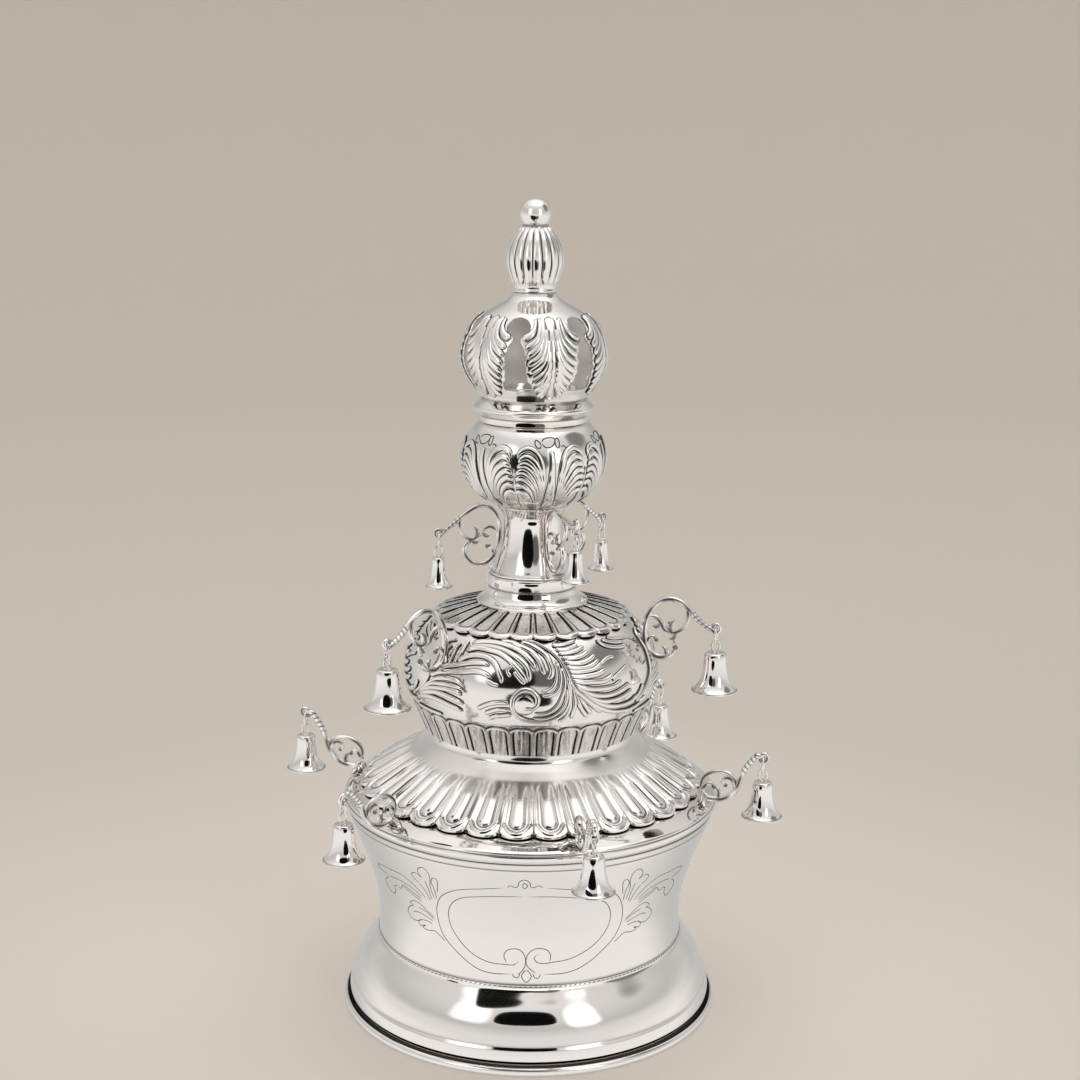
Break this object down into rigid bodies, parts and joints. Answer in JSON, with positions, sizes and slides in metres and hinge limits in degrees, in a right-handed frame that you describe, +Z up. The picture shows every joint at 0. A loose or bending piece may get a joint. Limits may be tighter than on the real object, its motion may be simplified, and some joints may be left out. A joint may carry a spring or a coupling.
{
  "type": "torah crown",
  "caption": "Silver Torah crown with waisted and bulging drums, fluted shoulder, pierced bulb, bud finial and scroll arms that carry small bells.",
  "frame": {"origin": "centre of the foot's underside, on the crown's axis", "axes": "+Z up the crown's axis towards the ball; the engraved front faces -Y"},
  "size_m": [0.2541, 0.2513, 0.4106],
  "materials": {
    "polished_silver": "mirror-polished silver",
    "chased_silver": "chased and fluted silver with darkened grooves"
  },
  "bodies": {
    "root": {"foot_ring": "polished_silver", "lower_drum": "polished_silver", "fluted_shoulder": "chased_silver", "upper_drum": "chased_silver", "scalloped_cap": "chased_silver", "neck": "polished_silver", "lower_knop": "chased_silver", "knop_ring": "polished_silver", "pierced_bulb": "chased_silver", "bud_finial": "chased_silver", "upper_arm_1": "chased_silver", "upper_link_1": "polished_silver", "upper_bell_1": "polished_silver", "upper_arm_2": "chased_silver", "upper_link_2": "polished_silver", "upper_bell_2": "polished_silver", "upper_arm_3": "chased_silver", "upper_link_3": "polished_silver", "upper_bell_3": "polished_silver", "middle_arm_1": "chased_silver", "middle_link_1": "polished_silver", "middle_bell_1": "polished_silver", "middle_arm_2": "chased_silver", "middle_link_2": "polished_silver", "middle_bell_2": "polished_silver", "middle_arm_3": "chased_silver", "middle_link_3": "polished_silver", "middle_bell_3": "polished_silver", "lower_arm_1": "chased_silver", "lower_link_1": "polished_silver", "lower_bell_1": "polished_silver", "lower_arm_2": "chased_silver", "lower_link_2": "polished_silver", "lower_bell_2": "polished_silver", "lower_arm_3": "chased_silver", "lower_link_3": "polished_silver", "lower_bell_3": "polished_silver", "lower_arm_4": "chased_silver", "lower_link_4": "polished_silver", "lower_bell_4": "polished_silver", "lower_arm_5": "chased_silver", "lower_link_5": "polished_silver", "lower_bell_5": "polished_silver", "lower_arm_6": "chased_silver", "lower_link_6": "polished_silver", "lower_bell_6": "polished_silver"}
  },
  "joints": []
}
